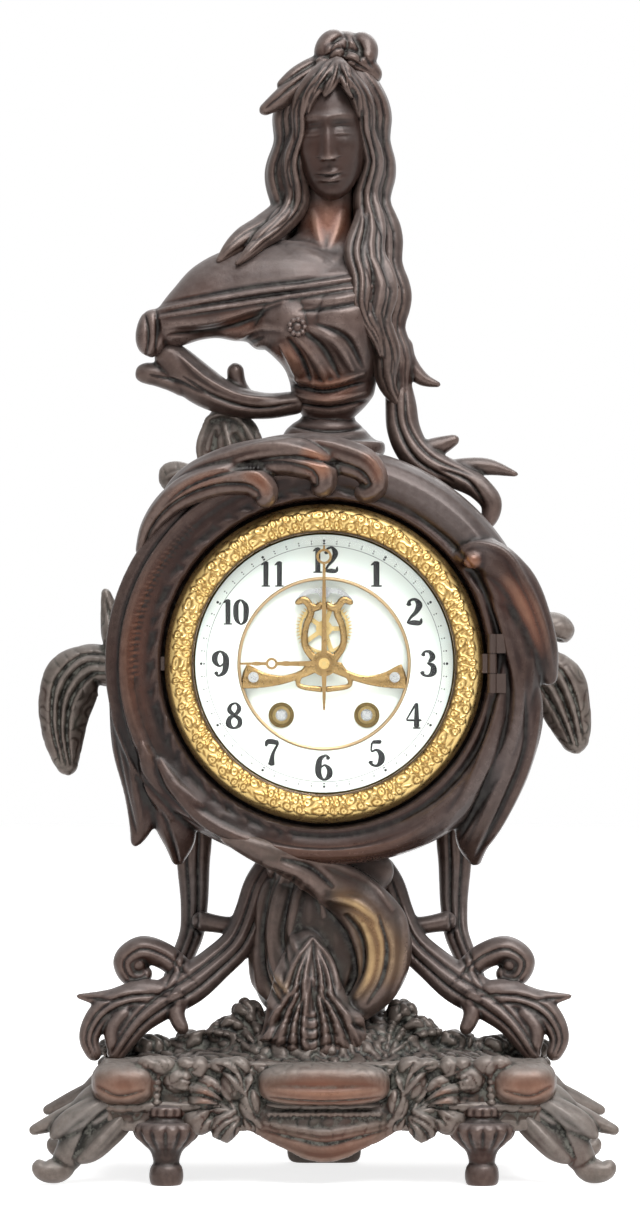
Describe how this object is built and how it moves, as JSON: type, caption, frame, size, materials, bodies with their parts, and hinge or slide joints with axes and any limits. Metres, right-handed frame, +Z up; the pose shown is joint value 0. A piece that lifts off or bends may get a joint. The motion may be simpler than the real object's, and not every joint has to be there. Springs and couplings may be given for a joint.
{
  "type": "figural mantel clock",
  "caption": "Figural mantel clock with a bust over a round bronzed case, gilt hinged bezel, porcelain dial with visible escapement, scrolled trunk and footed base.",
  "frame": {"origin": "on the table under the middle of the base", "axes": "+Z up, the dial faces -Y, +X to the viewer's right"},
  "size_m": [0.2594, 0.14, 0.5086],
  "materials": {
    "bronze": "bronzed spelter casting with worn copper highlights and dusty recesses",
    "case_metal": "dark lacquered sheet",
    "gilt": "gilt brass",
    "brass": "lacquered brass",
    "steel": "polished steel",
    "blued_steel": "blued steel",
    "glass": "clear bevelled glass",
    "porcelain": "glazed white porcelain"
  },
  "bodies": {
    "case": {"back_door_hinge": "brass", "back_plate": "brass", "base_feet": "bronze", "base_plinth": "bronze", "base_scroll_left": "bronze", "base_scroll_right": "bronze", "bezel_hinge": "gilt", "bridge_screws": "steel", "bust_hair": "bronze", "bust_head": "bronze", "bust_scrolls": "bronze", "bust_torso": "bronze", "case_drum": "case_metal", "case_front": "bronze", "case_leaves": "bronze", "coil_gong": "blued_steel", "cresting": "bronze", "dial_center": "porcelain", "dial_inner_ring": "gilt", "dial_pan": "brass", "dial_ring": "porcelain", "escape_cock": "brass", "escapement_bridge": "gilt", "front_feet": "bronze", "front_plate": "brass", "front_posts": "steel", "gong_bracket": "blued_steel", "headdress": "bronze", "pillar_nuts": "brass", "plate_pillars": "steel", "suspension_cock": "brass", "trunk": "bronze", "winding_grommets": "brass", "wing_left": "bronze", "wing_right": "bronze"},
    "bezel": {"bezel": "gilt", "bezel_glass": "glass", "glass_retainer": "gilt"},
    "back_door": {"back_door": "case_metal", "back_door_knob": "brass"},
    "minute_hand": {"cannon_pinion": "steel", "minute_hand": "gilt"},
    "hour_hand": {"hour_wheel": "brass", "hour_hand": "gilt"},
    "minute_wheel": {"minute_wheel": "brass"},
    "center_wheel": {"center_wheel": "brass", "hand_nut": "gilt"},
    "second_wheel": {"second_wheel": "brass"},
    "third_wheel": {"third_wheel": "brass"},
    "escape_wheel": {"escape_wheel": "brass"},
    "time_barrel": {"time_barrel": "brass"},
    "strike_barrel": {"strike_barrel": "brass"},
    "time_winding": {"time_winding_arbor": "steel"},
    "strike_winding": {"strike_winding_arbor": "steel"},
    "pallets": {"pallet_anchor": "steel", "pallet_arbor": "steel"},
    "pendulum": {"pendulum_rod": "steel", "pendulum_bob": "brass"},
    "rating_nut": {"rating_nut": "brass"},
    "hammer": {"hammer": "steel"}
  },
  "joints": [
    {"name": "bezel_hinge", "type": "hinge", "parent": "case", "child": "bezel", "pos_m": [0.0734, -0.057, 0.228], "axis": [0, 0, 1], "range_deg": [0, 105]},
    {"name": "back_door_hinge", "type": "hinge", "parent": "case", "child": "back_door", "pos_m": [-0.0862, 0.04405, 0.228], "axis": [0, 0, 1], "range_deg": [0, 110]},
    {"name": "minute_set", "type": "hinge", "parent": "case", "child": "minute_hand", "pos_m": [0, -0.04, 0.228], "axis": [0, 1, 0], "continuous": true},
    {"name": "hour_set", "type": "hinge", "parent": "case", "child": "hour_hand", "pos_m": [0, -0.04, 0.228], "axis": [0, 1, 0], "continuous": true},
    {"name": "minute_wheel_set", "type": "hinge", "parent": "case", "child": "minute_wheel", "pos_m": [0.00563, -0.037, 0.2174], "axis": [0, 1, 0], "continuous": true},
    {"name": "third_wheel_turn", "type": "hinge", "parent": "case", "child": "third_wheel", "pos_m": [-0.01308, -0.02, 0.23829], "axis": [0, 1, 0], "continuous": true},
    {"name": "center_wheel_turn", "type": "hinge", "parent": "case", "child": "center_wheel", "pos_m": [0, -0.02, 0.228], "axis": [0, 1, 0], "continuous": true},
    {"name": "escape_wheel_turn", "type": "hinge", "parent": "case", "child": "escape_wheel", "pos_m": [0, -0.04, 0.2435], "axis": [0, 1, 0], "continuous": true},
    {"name": "second_wheel_turn", "type": "hinge", "parent": "case", "child": "second_wheel", "pos_m": [0.01832, -0.02, 0.22539], "axis": [0, 1, 0], "continuous": true},
    {"name": "time_barrel_turn", "type": "hinge", "parent": "case", "child": "time_barrel", "pos_m": [0.0188, -0.02, 0.2054], "axis": [0, 1, 0], "continuous": true},
    {"name": "strike_barrel_turn", "type": "hinge", "parent": "case", "child": "strike_barrel", "pos_m": [-0.0188, -0.02, 0.2054], "axis": [0, 1, 0], "continuous": true},
    {"name": "time_winding", "type": "hinge", "parent": "case", "child": "time_winding", "pos_m": [0.0188, -0.02, 0.2054], "axis": [0, 1, 0], "continuous": true},
    {"name": "strike_winding", "type": "hinge", "parent": "case", "child": "strike_winding", "pos_m": [-0.0188, -0.02, 0.2054], "axis": [0, 1, 0], "continuous": true},
    {"name": "pendulum_swing", "type": "hinge", "parent": "case", "child": "pendulum", "pos_m": [0, 0.016, 0.2595], "axis": [0, 1, 0], "range_deg": [-2.5, 2.5]},
    {"name": "pallet_rock", "type": "hinge", "parent": "case", "child": "pallets", "pos_m": [0, -0.04, 0.2595], "axis": [0, 1, 0], "range_deg": [-2.5, 2.5]},
    {"name": "rating_nut_turn", "type": "hinge", "parent": "pendulum", "child": "rating_nut", "pos_m": [0, 0.016, 0.1547], "axis": [0, 0, 1], "continuous": true},
    {"name": "hammer_lift", "type": "hinge", "parent": "case", "child": "hammer", "pos_m": [-0.032, 0.033, 0.256], "axis": [0, 1, 0], "range_deg": [0, 14], "stiffness_Nm_per_rad": 0.05}
  ],
  "couplings": [
    {"joint": "hour_set", "follows": "minute_set", "ratio": 0.083333},
    {"joint": "minute_wheel_set", "follows": "minute_set", "ratio": -0.33333},
    {"joint": "center_wheel_turn", "follows": "third_wheel_turn", "ratio": -0.083333},
    {"joint": "escape_wheel_turn", "follows": "third_wheel_turn", "ratio": -10},
    {"joint": "second_wheel_turn", "follows": "third_wheel_turn", "ratio": 0.013021},
    {"joint": "time_barrel_turn", "follows": "third_wheel_turn", "ratio": -0.0018601},
    {"joint": "pallet_rock", "follows": "pendulum_swing", "ratio": 1}
  ]
}
